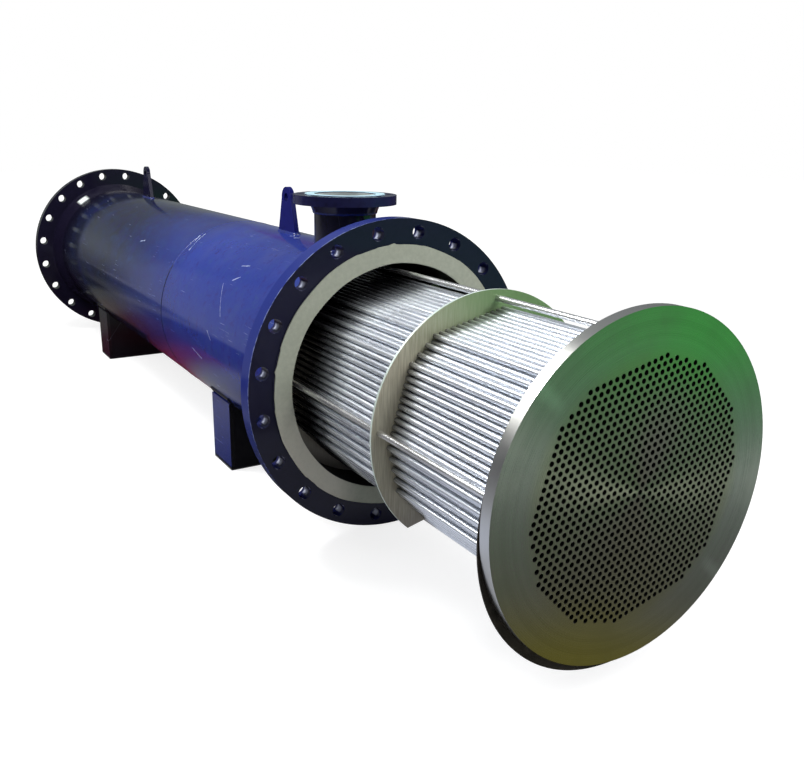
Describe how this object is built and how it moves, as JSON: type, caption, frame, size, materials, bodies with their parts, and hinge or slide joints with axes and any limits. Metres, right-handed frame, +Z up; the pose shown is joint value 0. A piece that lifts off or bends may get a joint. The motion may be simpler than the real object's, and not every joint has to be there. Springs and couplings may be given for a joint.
{
  "type": "shell and tube heat exchanger",
  "caption": "Horizontal shell and tube heat exchanger on box saddles, flanged at both ends, with its straight-tube bundle partly drawn out of the shell.",
  "frame": {"origin": "on the floor, under the middle of the front saddle's base plate", "axes": "+X along the shell axis towards the withdrawn tube bundle, +Z up, so +Y is the side with the outlet nozzle"},
  "size_m": [3.694, 0.8545, 0.863],
  "materials": {
    "blue_paint": "gloss paint, scuffed",
    "navy_paint": "gloss paint, dark",
    "bright_steel": "bright drawn and turned stainless steel",
    "plate_steel": "dull rolled plate",
    "pale_gasket": "matte fibre sheet",
    "black_gasket": "matte black sheet"
  },
  "bodies": {
    "root": {"shell_front_course": "blue_paint", "shell_rear_course": "blue_paint", "inlet_neck": "blue_paint", "inlet_flange": "blue_paint", "outlet_neck": "blue_paint", "outlet_flange": "blue_paint", "front_lifting_lug": "blue_paint", "rear_lifting_lug": "blue_paint", "front_flange": "navy_paint", "rear_flange": "navy_paint", "front_saddle_base": "navy_paint", "front_saddle_webs": "navy_paint", "front_saddle_ends": "navy_paint", "rear_saddle_base": "navy_paint", "rear_saddle_webs": "navy_paint", "rear_saddle_ends": "navy_paint", "front_tube_sheet": "bright_steel", "rear_tube_sheet": "bright_steel", "outer_tubes": "bright_steel", "upper_tubes": "bright_steel", "lower_tubes": "bright_steel", "spacer_sleeves": "bright_steel", "baffle_1": "plate_steel", "baffle_2": "plate_steel", "baffle_3": "plate_steel", "baffle_4": "plate_steel", "baffle_5": "plate_steel", "tie_rods": "plate_steel", "tie_rod_nuts": "plate_steel", "front_gasket": "pale_gasket", "hung_gasket": "black_gasket"}
  },
  "joints": []
}
